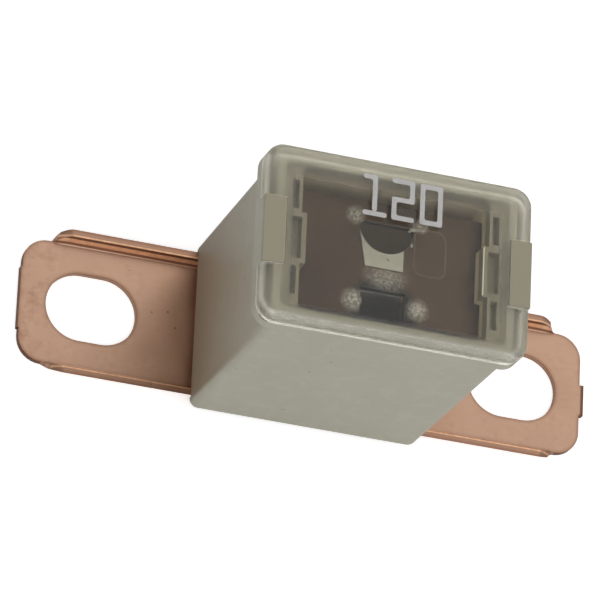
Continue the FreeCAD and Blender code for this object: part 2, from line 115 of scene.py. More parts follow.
class Bench:
    """Modelling steps shared by the pieces; sizes and places are in millimetres."""

    @staticmethod
    def only(piece: Thing) -> None:
        """Make one object the only selected and the active one.

        Args:
            piece: The object.
        """
        bpy.ops.object.select_all(action="DESELECT")
        piece.select_set(True)
        bpy.context.view_layer.objects.active = piece

    @staticmethod
    @contextmanager
    def editing(
        piece: Thing,
        kind: Element | None = None,
        test: Callable[[Sequence[Vector]], bool] | None = None,
    ) -> Iterator[None]:
        """Edit a piece with all of it, or what passes a test, selected.

        Args:
            piece: The object to edit.
            kind: The elements that are selected, or None for those of the last edit.
            test: Takes the corners of an element, or None to select all.

        Yields:
            Once, in edit mode.
        """
        Bench.only(piece)
        bpy.ops.object.mode_set(mode="EDIT")
        if kind:
            bpy.ops.mesh.select_mode(type=kind.name)
        bpy.ops.mesh.select_all(action="DESELECT" if test else "SELECT")
        if test:
            mesh = bmesh.from_edit_mesh(piece.data)
            for item in getattr(mesh, kind.value):
                ends = [item] if kind is Element.VERT else item.verts
                if test([end.co / MM for end in ends]):
                    item.select_set(True)
            bmesh.update_edit_mesh(piece.data)
        yield
        bpy.ops.object.mode_set(mode="OBJECT")

    @staticmethod
    def primitive(
        add: Callable[..., object],
        name: str,
        at: Sequence[float],
        scale: Sequence[float] = (1.0, 1.0, 1.0),
        **sizes: float,
    ) -> Thing:
        """Add a primitive with its place and scale in its mesh.

        Args:
            add: The operator that adds it.
            name: Name of the new object.
            at: Its centre.
            scale: Its scale along each axis.
            **sizes: What the operator takes, with lengths in metres.

        Returns:
            The new object.
        """
        bpy.ops.object.select_all(action="DESELECT")
        add(location=[part * MM for part in at], **sizes)
        piece = bpy.context.object
        piece.name = name
        piece.scale = scale
        bpy.ops.object.transform_apply(location=True, rotation=True, scale=True)
        return piece

    @staticmethod
    def block(name: str, low: Point, high: Point, side: int = 1) -> Thing:
        """Add a block that spans two corners.

        Args:
            name: Name of the new object.
            low: Lowest corner.
            high: Highest corner.
            side: -1 to put a block that is given for the +X end on the -X end.

        Returns:
            The new object.
        """
        spans = [sorted((side * low[0], side * high[0])), *zip(low[1:], high[1:])]
        centre = [(first + last) / 2 for first, last in spans]
        spread = [(last - first) * MM for first, last in spans]
        return Bench.primitive(bpy.ops.mesh.primitive_cube_add, name, centre, spread, size=1.0)

    @staticmethod
    def disc(name: str, at: Point, radius: float, depth: float, facets: int) -> Thing:
        """Add an upright cylinder about its centre."""
        add = bpy.ops.mesh.primitive_cylinder_add
        return Bench.primitive(add, name, at, vertices=facets, radius=radius * MM, depth=depth * MM)

    @staticmethod
    def bevel(
        piece: Thing,
        kind: Element,
        test: Callable[[Sequence[Vector]], bool],
        size: float,
        segments: int,
    ) -> None:
        """Round the edges or flat corners that pass a test.

        Args:
            piece: The object to round.
            kind: Edges, or vertices for the corners of a flat sheet.
            test: Takes the corners of an element.
            size: Size of the rounding.
            segments: Facets across it.
        """
        affect = "VERTICES" if kind is Element.VERT else "EDGES"
        with Bench.editing(piece, kind, test):
            bpy.ops.mesh.bevel(offset=size * MM, segments=segments, affect=affect, clamp_overlap=False)

    @staticmethod
    def rounded_block(
        name: str,
        half: Sequence[float],
        low_z: float,
        high_z: float,
        radius: float,
        segments: int = 8,
        middle: tuple[float, float] = (0.0, 0.0),
    ) -> Thing:
        """Add an upright block with rounded corners.

        Args:
            name: Name of the new object.
            half: Half its length and half its width.
            low_z: Height of its underside.
            high_z: Height of its top.
            radius: Corner radius.
            segments: Facets in each corner.
            middle: Its centre in plan.

        Returns:
            The new object.
        """
        half_x, half_y = half
        piece = Bench.block(name, (-half_x, -half_y, low_z), (half_x, half_y, high_z))
        tall = 0.5 * (high_z - low_z)
        Bench.bevel(piece, Element.EDGE, lambda ends: abs(ends[0].z - ends[1].z) > tall, radius, segments)
        piece.location = (middle[0] * MM, middle[1] * MM, 0.0)
        bpy.ops.object.transform_apply(location=True, rotation=False, scale=False)
        return piece

    @staticmethod
    def modify(piece: Thing, kind: str, **values: object) -> None:
        """Finish a piece with one modifier and apply it.

        Args:
            piece: The object to change.
            kind: Type of the modifier.
            **values: The modifier's properties.
        """
        Bench.only(piece)
        step = piece.modifiers.new(kind.lower(), kind)
        for key, value in values.items():
            setattr(step, key, value)
        bpy.ops.object.modifier_apply(modifier=step.name)

    @staticmethod
    def combine(piece: Thing, tool: Thing, way: Join) -> None:
        """Join a tool to a piece or cut it out, and remove the tool."""
        Bench.modify(piece, "BOOLEAN", operation=way.value, solver="EXACT", object=tool)
        bpy.data.objects.remove(tool, do_unlink=True)

    @staticmethod
    def gather(pieces: Sequence[Thing], name: str) -> Thing:
        """Join objects into the first of them.

        Args:
            pieces: The objects.
            name: Name of the joined one.

        Returns:
            The joined object.
        """
        Bench.only(pieces[0])
        for other in pieces[1:]:
            other.select_set(True)
        bpy.ops.object.join()
        pieces[0].name = name
        return pieces[0]

    @staticmethod
    def settle(piece: Thing) -> None:
        """Merge doubles, dissolve flat seams and turn the faces outwards.

        Args:
            piece: The object to clean.
        """
        with Bench.editing(piece):
            bpy.ops.mesh.remove_doubles(threshold=0.002 * MM)
            bpy.ops.mesh.dissolve_limited(angle_limit=math.radians(0.5))
            bpy.ops.mesh.normals_make_consistent(inside=False)

    @staticmethod
    def roll(piece: Thing, width: float, segments: int, angle: float) -> None:
        """Round every edge sharper than an angle.

        Args:
            piece: The object to round.
            width: Width of the rounding.
            segments: Facets across it.
            angle: Smallest angle in degrees that counts as sharp.
        """
        Bench.modify(
            piece,
            "BEVEL",
            width=width * MM,
            segments=segments,
            limit_method="ANGLE",
            angle_limit=math.radians(angle),
            use_clamp_overlap=True,
            miter_outer="MITER_ARC",
        )

    @staticmethod
    def soften(piece: Thing, width: float, segments: int = 2, angle: float = 32.0) -> None:
        """Round every sharp edge slightly and smooth the shading.

        Args:
            piece: The object to finish.
            width: Width of the rounding.
            segments: Facets across it.
            angle: Smallest angle in degrees that counts as sharp.
        """
        Bench.roll(piece, width, segments, angle)
        bpy.ops.object.shade_smooth_by_angle(angle=math.radians(angle))
        Bench.modify(piece, "WEIGHTED_NORMAL", weight=100, keep_sharp=True)

    @staticmethod
    def pull(steps: Iterable[Point]) -> None:
        """Extrude what is selected through a run of moves.

        Args:
            steps: One move for each extrusion.
        """
        for step in steps:
            move = tuple(part * MM for part in step)
            bpy.ops.mesh.extrude_region_move(TRANSFORM_OT_translate={"value": move})

    @staticmethod
    def bow(centre: Point, start: Point, plane: tuple[Axis, Axis], turn: float, count: int) -> list[Point]:
        """Moves that carry a point round an arc.

        Args:
            centre: Centre of the arc.
            start: The point to carry.
            plane: The two coordinates that change.
            turn: Angle in degrees from the first towards the second coordinate.
            count: Number of moves.

        Returns:
            One move for each facet of the arc.
        """
        first, second = (axis.value for axis in plane)
        arm = (start[first] - centre[first], start[second] - centre[second])
        stops = []
        for index in range(count + 1):
            angle = math.radians(turn) * index / count
            stop = [0.0, 0.0, 0.0]
            stop[first] = arm[0] * math.cos(angle) - arm[1] * math.sin(angle)
            stop[second] = arm[0] * math.sin(angle) + arm[1] * math.cos(angle)
            stops.append(stop)
        return [tuple(b - a for a, b in zip(before, after)) for before, after in zip(stops, stops[1:])]


# Node trees and the shader groups that finishes share


class Level:
    """A number that varies over a surface; arithmetic with it adds Math nodes."""

    def __init__(self, nodes: "Nodes", socket: Socket) -> None:
        self.nodes = nodes
        self.socket = socket

    def __add__(self, other: "Level | float") -> "Level":
        """Sum."""
        return self.nodes.math("ADD", self, other)

    def __sub__(self, other: "Level | float") -> "Level":
        """Difference."""
        return self.nodes.math("SUBTRACT", self, other)

    def __rsub__(self, other: float) -> "Level":
        """Difference from a plain number."""
        return self.nodes.math("SUBTRACT", other, self)

    def __mul__(self, other: "Level | float") -> "Level":
        """Product."""
        return self.nodes.math("MULTIPLY", self, other)

    def __pow__(self, power: float) -> "Level":
        """Power."""
        return self.nodes.math("POWER", self, power)

    def __abs__(self) -> "Level":
        """Size without its sign."""
        return self.nodes.math("ABSOLUTE", self)

    def __lt__(self, limit: "Level | float") -> "Level":
        """Mask that is 1 below a limit."""
        return self.nodes.math("LESS_THAN", self, limit)

    def __gt__(self, limit: "Level | float") -> "Level":
        """Mask that is 1 above a limit."""
        return self.nodes.math("GREATER_THAN", self, limit)

    def highest(self, other: "Level | float") -> "Level":
        """The larger of two."""
        return self.nodes.math("MAXIMUM", self, other)

    def held(self) -> "Level":
        """Hold this level between 0 and 1, in the node that makes it."""
        self.socket.node.use_clamp = True
        return self

    def ramp(self, start: float, rate: float) -> "Level":
        """Rise from 0 at a start by a rate to 1; with a rate below 0 it rises the other way."""
        return ((self - start) * rate).held()

    def within(self, low: float, high: float) -> "Level":
        """Mask that is 1 between two limits."""
        return (self > low) * (self < high)

    def band(self, low: float, high: float, soft: float = 0.06) -> "Level":
        """Mask of what lies between two limits, with soft ends."""
        return self.ramp(low, 1.0 / soft) * self.ramp(high, -1.0 / soft)


class Spot(NamedTuple):
    """The three coordinates of a place or a direction."""

    x: Level
    y: Level
    z: Level

    def patch(self, area: Area) -> Level:
        """Round soft patch in plan.

        Args:
            area: Centre and half widths.

        Returns:
            Mask that is 1 at the centre and 0 from the rim outwards.
        """
        across, up, half_x, half_y = area
        side = (self.x - across) * (1.0 / half_x)
        along = (self.y - up) * (1.0 / half_y)
        return (1.0 - (side * side + along * along)).held()


class Nodes:
    """Builder of one node tree."""

    def __init__(self, tree: Group) -> None:
        self.tree = tree

    def feed(self, target: Socket, value: object) -> None:
        """Link a level or an output to an input, or set the input's own value.

        Args:
            target: The input.
            value: Level, output, number, vector or colour.
        """
        source = value.socket if isinstance(value, Level) else value
        if isinstance(source, Socket):
            self.tree.links.new(source, target)
        else:
            target.default_value = (*source, 1.0) if target.type == "RGBA" else source

    def add(self, kind: str, inputs: dict | None = None, **values: object) -> bpy.types.Node:
        """Add a node.

        Args:
            kind: Node type.
            inputs: What each input gets, by its name or index.
            **values: Plain properties of the node.

        Returns:
            The new node.
        """
        node = self.tree.nodes.new(kind)
        for key, value in values.items():
            setattr(node, key, value)
        for key, value in (inputs or {}).items():
            self.feed(node.inputs[key], value)
        return node

    def math(self, operation: str, *terms: "Level | float") -> Level:
        """Add one arithmetic step and give its result."""
        return Level(self, self.add("ShaderNodeMath", dict(enumerate(terms)), operation=operation).outputs[0])

    def dot(self, *vectors: object) -> Level:
        """Add a dot product and give its result."""
        node = self.add("ShaderNodeVectorMath", dict(enumerate(vectors)), operation="DOT_PRODUCT")
        return Level(self, node.outputs["Value"])

    def split(self, vector: Socket) -> Spot:
        """Coordinates of a vector."""
        parts = self.add("ShaderNodeSeparateXYZ", {0: vector}).outputs
        return Spot(*(Level(self, part) for part in parts))

    def place(self) -> Socket:
        """Object coordinates in metres."""
        return self.add("ShaderNodeTexCoord").outputs["Object"]

    @cached_property
    def at(self) -> Spot:
        """Object coordinates in millimetres."""
        scaled = self.add("ShaderNodeVectorMath", {0: self.place(), "Scale": 1.0 / MM}, operation="SCALE")
        return self.split(scaled.outputs[0])

    def layers(self, tone: object, *coats: tuple[Level, object]) -> Socket:
        """Lay coats of colour over a first one, each by its own mask.

        Args:
            tone: Colour, or output with a colour, that is covered.
            *coats: Mask and colour of each coat, the lowest first.

        Returns:
            Output with the colour that they make.
        """
        for mask, colour in coats:
            node = self.add("ShaderNodeMix", {"Factor": mask}, data_type="RGBA")
            under, over = (socket for socket in node.inputs if socket.type == "RGBA")
            self.feed(under, tone)
            self.feed(over, colour)
            tone = next(socket for socket in node.outputs if socket.type == "RGBA")
        return tone

    def effect(self, group: Group, **values: float) -> Level:
        """Place a shared shader group with its own values and give its result."""
        return Level(self, self.add("ShaderNodeGroup", values, node_tree=group).outputs[0])


class Paint(Nodes):
    """Builder of one material with a Principled shader."""

    def __init__(self, name: str) -> None:
        self.material = bpy.data.materials.new(name)
        self.material.use_nodes = True
        super().__init__(self.material.node_tree)
        self.shader = self.tree.nodes["Principled BSDF"]

    def put(self, values: dict[str, object]) -> None:
        """Feed the shader's inputs by their names."""
        for name, value in values.items():
            self.feed(self.shader.inputs[name], value)

    def bump(self, height: Level, strength: float, depth: float) -> None:
        """Feed a height into the shader's normal, with its depth in millimetres."""
        relief = self.add("ShaderNodeBump", {"Height": height, "Strength": strength, "Distance": depth * MM})
        self.put({"Normal": relief.outputs[0]})


def new_group(name: str, result: str, **given: float) -> tuple[Nodes, dict[str, Level], Socket]:
    """Start a shader node group that gives one number.

    Args:
        name: Name of the group.
        result: Name of its output.
        **given: Name and default of each input.

    Returns:
        The builder, what the group is given and the socket that takes its result.
    """
    tree = bpy.data.node_groups.new(name, "ShaderNodeTree")
    for label, default in given.items():
        socket = tree.interface.new_socket(name=label, in_out="INPUT", socket_type="NodeSocketFloat")
        socket.default_value = default
    tree.interface.new_socket(name=result, in_out="OUTPUT", socket_type="NodeSocketFloat")
    nodes = Nodes(tree)
    entry = nodes.add("NodeGroupInput")
    leave = nodes.add("NodeGroupOutput")
    return nodes, {label: Level(nodes, entry.outputs[label]) for label in given}, leave.inputs[result]


class Effects:
    """The shared shader groups, each built once."""

    def __init__(self) -> None:
        self.mottle = self.build_mottle()
        self.grain = self.build_grain()
        self.edge = self.build_edge()
        self.dust = self.build_dust()

    @staticmethod
    def build_mottle() -> Group:
        """Soft cloudy variation for colour and roughness."""
        nodes, given, result = new_group("cloudy_mottle", "Mask", Scale=300.0, Contrast=1.0)
        look = {"Vector": nodes.place(), "Scale": given["Scale"], "Detail": 4.0, "Roughness": 0.55}
        cloud = Level(nodes, nodes.add("ShaderNodeTexNoise", look).outputs[0])
        nodes.feed(result, ((cloud - 0.5) * given["Contrast"] + 0.5).held())
        return nodes.tree

    @staticmethod
    def build_grain() -> Group:
        """Fine streaks along X, or an even grain where Stretch is 1."""
        nodes, given, result = new_group("fine_grain", "Height", Scale=3000.0, Stretch=1.0)
        at = nodes.split(nodes.place())
        drawn = nodes.add("ShaderNodeCombineXYZ", {"X": at.x * given["Stretch"], "Y": at.y, "Z": at.z})
        look = {"Vector": drawn.outputs[0], "Scale": given["Scale"], "Detail": 3.0}
        nodes.feed(result, nodes.add("ShaderNodeTexNoise", look).outputs[0])
        return nodes.tree

    @staticmethod
    def build_edge() -> Group:
        """Mask of edges, where handling rubs a surface and where edge highlights are painted."""
        nodes, given, result = new_group("edge_rub", "Mask", Radius=0.00015, Gain=6.0)
        rounded = nodes.add("ShaderNodeBevel", {"Radius": given["Radius"]}, samples=6)
        shape = nodes.add("ShaderNodeNewGeometry")
        agree = nodes.dot(rounded.outputs[0], shape.outputs["Normal"])
        nodes.feed(result, ((1.0 - agree) * given["Gain"]).held())
        return nodes.tree

    @staticmethod
    def build_dust() -> Group:
        """Sparse specks."""
        nodes, given, result = new_group("sparse_specks", "Mask", Scale=1500.0, Amount=0.05)
        cells = nodes.add("ShaderNodeTexVoronoi", {"Vector": nodes.place(), "Scale": given["Scale"]})
        speck_size = 0.16
        near = Level(nodes, cells.outputs["Distance"]) < speck_size
        tints = nodes.add("ShaderNodeSeparateColor", {0: cells.outputs["Color"]})
        nodes.feed(result, near * (Level(nodes, tints.outputs[0]) < given["Amount"]))
        return nodes.tree


# Finishes, with their places in millimetres


@dataclass(frozen=True)
class MouldedPlastic:
    """Grey-olive moulded plastic of the housing, worn at its edges, with painted light and shade inside, on
    the tongue tops, in the end grooves and low on the end walls.
    """

    deep: Colour = srgb(160, 157, 140)
    pale: Colour = srgb(172, 169, 153)
    rubbed: Colour = srgb(190, 188, 174)
    speck: Colour = srgb(116, 111, 96)
    # Painted light and shade inside the housing: the light tone lifts the deep cavity walls, and the darker
    # shelf tone is painted shade on the shelf and in its cores.
    inner: Colour = srgb(226, 210, 178)
    painted_inside_reach: Point = (10.42, 7.0, 23.28)
    painted_inside_fade: Point = (-4.0, -4.0, -3.0)
    shelf: Colour = srgb(142, 136, 117)
    shelf_z: float = 21.6
    # Painted shade: the tops of the latch tongues are painted darker than the rest of the plastic.
    tongue: Colour = srgb(149, 142, 121)
    tongue_shade_z: float = 23.5
    # Painted light and shade: a darker copper-coloured tone low on the end walls stands in for the bounce
    # from the terminals.
    foot: Colour = srgb(130, 108, 86)
    painted_bounce_x: float = 10.7
    painted_bounce_z: float = 21.0
    painted_bounce_fade: float = -0.038
    # Painted shade in the groove between the cover's rim and the collar at each end.
    groove_shade: Colour = srgb(104, 99, 82)
    groove_shade_x: tuple[float, float] = (11.24, 12.0)
    groove_shade_z: tuple[float, float] = (22.52, 23.28)
    # Painted highlight: a thin near-white strip along the top inner edge of the right rib.
    painted_highlight: Colour = srgb(252, 248, 226)
    painted_highlight_x: tuple[float, float] = (8.0, 8.34)
    painted_highlight_y: float = 2.3
    painted_highlight_z: float = 22.78
    roughness: float = 0.4
    refraction: float = 1.52
    scatter: float = 0.12
    scatter_radius: Point = (1.0, 0.9, 0.7)
    scatter_depth: float = 0.6

    def material(self, effects: Effects) -> Material:
        """Build the material.

        Args:
            effects: The shared shader groups.

        Returns:
            The material.
        """
        paint = Paint("moulded_plastic")
        at = paint.at
        cloud = paint.effect(effects.mottle, Scale=160.0, Contrast=1.1)
        worn = paint.effect(effects.edge, Radius=0.00018, Gain=4.0)
        specks = paint.effect(effects.dust, Scale=1000.0, Amount=0.05)
        scuffs = paint.effect(effects.mottle, Scale=620.0, Contrast=7.0)
        # Mask of the housing's inside, where its light and shade are painted.
        walls = zip((abs(at.x), abs(at.y), at.z), self.painted_inside_reach, self.painted_inside_fade)
        inside = reduce(Level.__mul__, [level.ramp(reach, fade) for level, reach, fade in walls])
        inside_painted_tone = paint.layers(self.inner, (at.z.ramp(self.shelf_z, 2.5), self.shelf))
        tone = paint.layers(
            self.deep,
            (cloud, self.pale),
            (worn * 0.5, self.rubbed),
            (specks * 0.4, self.speck),
            ((scuffs - 0.82).held() * 0.7, self.rubbed),
            # Painted light on the deep walls inside and painted shade on the shelf.
            (inside, inside_painted_tone),
            # Painted shade on the tongue tops.
            (at.z.ramp(self.tongue_shade_z, 5.0), self.tongue),
            # Painted copper-coloured bounce and shade, stronger towards the bottom of the end walls.
            (abs(at.x).ramp(self.painted_bounce_x, 8.0) * at.z.ramp(self.painted_bounce_z, self.painted_bounce_fade), self.foot),
            # Painted shade in the end grooves.
            (abs(at.x).within(*self.groove_shade_x) * at.z.within(*self.groove_shade_z), self.groove_shade),
            # Painted highlight on the right rib edge.
            (at.x.within(*self.painted_highlight_x) * (abs(at.y) < self.painted_highlight_y) * (at.z > self.painted_highlight_z), self.painted_highlight),
        )
        paint.put({"Base Color": tone, "Roughness": cloud * 0.12 + self.roughness, "IOR": self.refraction})
        paint.put({"Subsurface Weight": self.scatter, "Subsurface Radius": self.scatter_radius})
        paint.put({"Subsurface Scale": self.scatter_depth * MM})
        paint.bump(paint.effect(effects.grain, Scale=5200.0, Stretch=1.0), strength=0.25, depth=0.02)
        return paint.material


@dataclass(frozen=True)
class ClearPlastic:
    """Clear moulded plastic of the cover, faintly warm, frosted over its rim."""

    tint: Colour = (0.91, 0.895, 0.83)
    lighter: float = 1.06
    roughness: float = 0.045
    refraction: float = 1.49
    rim: tuple[tuple[Axis, int, float, float], ...] = (
        (Axis.X, 1, 8.6, 3.0),
        (Axis.X, -1, 8.6, 3.0),
        (Axis.Y, 1, 4.4, 3.0),
        (Axis.Y, -1, 6.5, 0.7),
    )
    rim_roughness: float = 0.52
    rim_tint: Colour = (0.76, 0.735, 0.65)
    polished_y: float = -7.5

    def material(self, effects: Effects) -> Material:
        """Build the material.

        Args:
            effects: The shared shader groups.

        Returns:
            The material.
        """
        paint = Paint("clear_plastic")
        cloud = paint.effect(effects.mottle, Scale=220.0, Contrast=1.6)
        frosted = self.frosted(paint.at)
        pale = tuple(part * self.lighter for part in self.tint)
        tone = paint.layers(self.tint, (cloud, pale), (frosted * 0.5, self.rim_tint))
        rough = cloud * 0.05 + self.roughness + frosted * self.rim_roughness
        paint.put({"Base Color": tone, "Roughness": rough})
        paint.put({"IOR": self.refraction, "Transmission Weight": 1.0})
        paint.bump(paint.effect(effects.grain, Scale=420.0, Stretch=0.4), strength=0.08, depth=0.05)
        return paint.material

    def frosted(self, at: Spot) -> Level:
        """Mask that rises over the rim and falls again at the polished front edge."""
        zones = [(at[axis.value] * side).ramp(start, 1.0 / width) for axis, side, start, width in self.rim]
        return reduce(Level.highest, zones) * (1.0 - at.y.ramp(self.polished_y, -2.6) * 0.7)


@dataclass(frozen=True)
class RolledCopper:
    """Bare rolled copper sheet, stained and marked by its tools on the terminals, with painted shade and
    highlights on the terminals and a dark painted shade over the link.
    """

    fresh: Colour = srgb(215, 177, 152)
    dull: Colour = srgb(200, 162, 138)
    stained: Colour = srgb(150, 106, 82)
    stained_x: float = -23.2
    stained_fade: float = -0.33
    # Painted shade and reflection: the terminals turn browner and darker towards the housing.
    rooted: Colour = srgb(186, 142, 112)
    housing_shade_x: float = 16.0
    housing_shade_fade: float = -0.065
    # Painted shade and dark reflection: the link under the cover is painted dark brown.
    link_shade: Colour = srgb(76, 61, 49)
    link_shade_z: float = 19.0
    # Dark soft patch on the link round its front notch.
    dark_patch_tone: Colour = srgb(28, 26, 25)
    dark_patch: Area = (-0.3, -4.6, 3.7, 3.4)
    # Painted shade: the left part of the link is painted darker.
    left_shade: Colour = srgb(52, 38, 30)
    left_shade_area: Area = (-7.5, -3.0, 7.0, 8.0)
    # Light tone for the painted highlight along the link's edges and round its boss.
    rubbed: Colour = srgb(150, 136, 122)
    boss: Area = (3.925, 1.525, 1.475, 2.225)
    boss_corner: float = 0.9
    boss_line: float = 0.09
    residue: Colour = srgb(172, 168, 160)
    spots: tuple[Area, ...] = (
        (-3.05, -4.1, 1.35, 1.35),
        (3.0, -4.05, 1.3, 1.3),
        (-3.1, 4.0, 1.1, 1.1),
        (3.0, 4.0, 0.9, 0.9),
    )
    haze: Area = (-0.1, -1.4, 2.5, 1.8)
    # Painted highlight colour for the bands along the turned-up edges.
    painted_glint: Colour = srgb(255, 204, 162)
    # Dark colour for specks, worn edges and sheared ends, and for the painted shade in the folds.
    dark_marks_and_fold_shade: Colour = srgb(96, 54, 36)
    flange_x: float = 10.6
    flange_y: float = 5.7
    flange_z: float = 0.3
    fold_z: tuple[float, float] = (0.04, 0.34)
    glint_z: tuple[float, float] = (0.32, 0.72)
    lip_z: tuple[float, float] = (0.7, 0.97)
    back_z: tuple[float, float] = (0.3, 1.2)
    glint_y: tuple[float, float] = (6.2, 6.46)
    inward_turn: float = -1.0
    rim_x: float = 24.6
    nub_x: float = 26.94
    metallic: float = 0.95
    roughness: float = 0.35

    def material(self, effects: Effects) -> Material:
        """Build the material.

        Args:
            effects: The shared shader groups.

        Returns:
            The material.
        """
        paint = Paint("rolled_copper")
        at = paint.at
        cloud = paint.effect(effects.mottle, Scale=260.0, Contrast=2.2)
        streak = paint.effect(effects.grain, Scale=6500.0, Stretch=0.06)
        specks = paint.effect(effects.dust, Scale=1300.0, Amount=0.03)
        worn = paint.effect(effects.edge, Radius=0.00012, Gain=5.0)
        rolled = paint.effect(effects.edge, Radius=0.0006, Gain=8.0)
        link = at.z.ramp(self.link_shade_z, 0.8)
        tone = paint.layers(
            self.dull,
            (cloud, self.fresh),
            (streak * 0.12, self.stained),
            (specks * 0.7, self.dark_marks_and_fold_shade),
            (self.stains(paint, effects), self.stained),
            (rolled * 0.7, self.stained),
            # Painted shade and reflection of the housing on the terminals.
            (abs(at.x).ramp(self.housing_shade_x, self.housing_shade_fade), self.rooted),
            # Painted shade over the whole link.
            (link, self.link_shade),
            # Painted shade on the left of the link.
            (at.patch(self.left_shade_area) * link * 0.6, self.left_shade),
            # Dark patch round the notch.
            ((at.patch(self.dark_patch) * link * 2.4).held(), self.dark_patch_tone),
            # Painted highlight round the boss's rim.
            (self.outlined(at) * link * 0.45, self.rubbed),
            (self.clouded(paint, effects) * link, self.residue),
            # Edges: darker on the terminals, and a lighter painted highlight on the link.
            (worn * (0.6 - link * 0.42), paint.layers(self.dark_marks_and_fold_shade, (link, self.rubbed))),
            *self.creases(paint, effects),
        )
        paint.put({"Base Color": tone, "Metallic": self.metallic, "Roughness": cloud * 0.14 + self.roughness})
        paint.bump(streak, strength=0.1, depth=0.012)
        return paint.material

    def creases(self, paint: Paint, effects: Effects) -> list[tuple[Level, Colour]]:
        """Marks on the terminals: dark sheared ends; on the turned-up edges, painted shade in the folds, a
        dark band below the rims, a browner tone outside and painted highlights.

        Args:
            paint: Builder of the material.
            effects: The shared shader groups.

        Returns:
            Mask and colour of each coat.
        """
        at = paint.at
        facing = paint.split(paint.add("ShaderNodeNewGeometry").outputs["Normal"])
        reach = abs(at.y)
        zone = (abs(at.x) > self.flange_x) * (reach > self.flange_y)
        inward = facing.y * at.y < self.inward_turn
        inner = zone * inward
        upward = zone * (at.z > self.flange_z) * (1.0 - inward)
        glint = paint.effect(effects.mottle, Scale=2400.0, Contrast=4.0) * 0.4 + 0.6
        upright = ((1.0 - abs(facing.z)).held() * 1.6).held()
        rim = ((abs(at.x) > self.rim_x) * upright).highest(abs(at.x).ramp(self.nub_x, 8.0))
        return [
            (rim * 0.75, self.dark_marks_and_fold_shade),
            # Painted shade in the folds.
            (inner * at.z.band(*self.fold_z) * 0.55, self.dark_marks_and_fold_shade),
            # Painted highlight on the inner faces.
            (inner * at.z.band(*self.glint_z) * glint, self.painted_glint),
            (inner * at.z.band(*self.lip_z) * 0.75, self.dark_marks_and_fold_shade),
            (upward * at.z.band(*self.back_z) * 0.38, self.stained),
            # Painted highlight on the outer faces of the turned-up edges.
            (upward * reach.band(*self.glint_y) * glint, self.painted_glint),
        ]

    def outlined(self, at: Spot) -> Level:
        """Thin line round the raised boss of the link, where a highlight is painted.

        Args:
            at: The object coordinates.

        Returns:
            The mask.
        """
        across, up, half_x, half_y = self.boss
        over_x = (abs(at.x - across) - (half_x - self.boss_corner)).highest(0.0)
        over_y = (abs(at.y - up) - (half_y - self.boss_corner)).highest(0.0)
        off = abs((over_x * over_x + over_y * over_y) ** 0.5 - self.boss_corner)
        return off.ramp(self.boss_line, -1.0 / self.boss_line)

    def stains(self, paint: Paint, effects: Effects) -> Level:
        """Patchy stains that gather towards the end of the left terminal.

        Args:
            paint: Builder of the material.
            effects: The shared shader groups.

        Returns:
            The mask.
        """
        patches = paint.effect(effects.mottle, Scale=520.0, Contrast=6.0)
        wisps = paint.effect(effects.mottle, Scale=1500.0, Contrast=3.0)
        return patches * wisps * (paint.at.x.ramp(self.stained_x, self.stained_fade) * 0.4 + 0.16)

    def clouded(self, paint: Paint, effects: Effects) -> Level:
        """Speckled grey residue round the pips and below the tin.

        Args:
            paint: Builder of the material.
            effects: The shared shader groups.

        Returns:
            The mask.
        """
        puffs = [paint.at.patch(area) ** 1.5 for area in self.spots]
        puffs.append(paint.at.patch(self.haze) ** 1.5 * 0.65)
        speckle = paint.effect(effects.dust, Scale=7500.0, Amount=0.7)
        cloud = paint.effect(effects.mottle, Scale=4600.0, Contrast=3.4)
        return (reduce(Level.highest, puffs) * (speckle * 0.9 + cloud + 0.16)).held()


@dataclass(frozen=True)
class DullTin:
    """Matt tin flowed on the neck of the link."""

    pale: Colour = srgb(176, 174, 164)
    grey: Colour = srgb(150, 147, 138)
    metallic: float = 0.85
    roughness: float = 0.32

    def material(self, effects: Effects) -> Material:
        """Build the material.

        Args:
            effects: The shared shader groups.

        Returns:
            The material.
        """
        paint = Paint("dull_tin")
        cloud = paint.effect(effects.mottle, Scale=900.0, Contrast=1.8)
        paint.put({"Base Color": paint.layers(self.grey, (cloud, self.pale)), "Metallic": self.metallic})
        paint.put({"Roughness": cloud * 0.2 + self.roughness})
        paint.bump(paint.effect(effects.grain, Scale=9000.0, Stretch=1.0), strength=0.3, depth=0.02)
        return paint.material


@dataclass(frozen=True)
class PrintedInk:
    """Pale ink of the printed number."""

    pale: Colour = srgb(195, 194, 191)
    thin: Colour = srgb(172, 171, 170)
    speck: Colour = srgb(110, 106, 98)
    roughness: float = 0.55

    def material(self, effects: Effects) -> Material:
        """Build the material.

        Args:
            effects: The shared shader groups.

        Returns:
            The material.
        """
        paint = Paint("printed_ink")
        cloud = paint.effect(effects.mottle, Scale=1600.0, Contrast=1.6)
        specks = paint.effect(effects.dust, Scale=2600.0, Amount=0.08)
        tone = paint.layers(self.thin, (cloud, self.pale), (specks * 0.7, self.speck))
        paint.put({"Base Color": tone, "Roughness": self.roughness})
        return paint.material


# Pieces, with their sizes in millimetres


class Piece:
    """What the pieces have in common: each rides on the one body of the fuse."""

    finish_slot: ClassVar[Slot]
    stands_for: ClassVar[str | None] = None

    def dress(self, piece: Thing, material: Material) -> None:
        """Give a finished mesh its finish and its place in the frame.

        Args:
            piece: The mesh object.
            material: Its finish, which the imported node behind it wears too.
        """
        wearers = [piece]
        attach(piece, BODY)
        if self.stands_for:
            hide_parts(self.stands_for)
            wearers.append(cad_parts[self.stands_for])
        for wearer in wearers:
            wearer.data.materials.clear()
            wearer.data.materials.append(material)
        log.info("%s: %d faces", piece.name, len(piece.data.polygons))


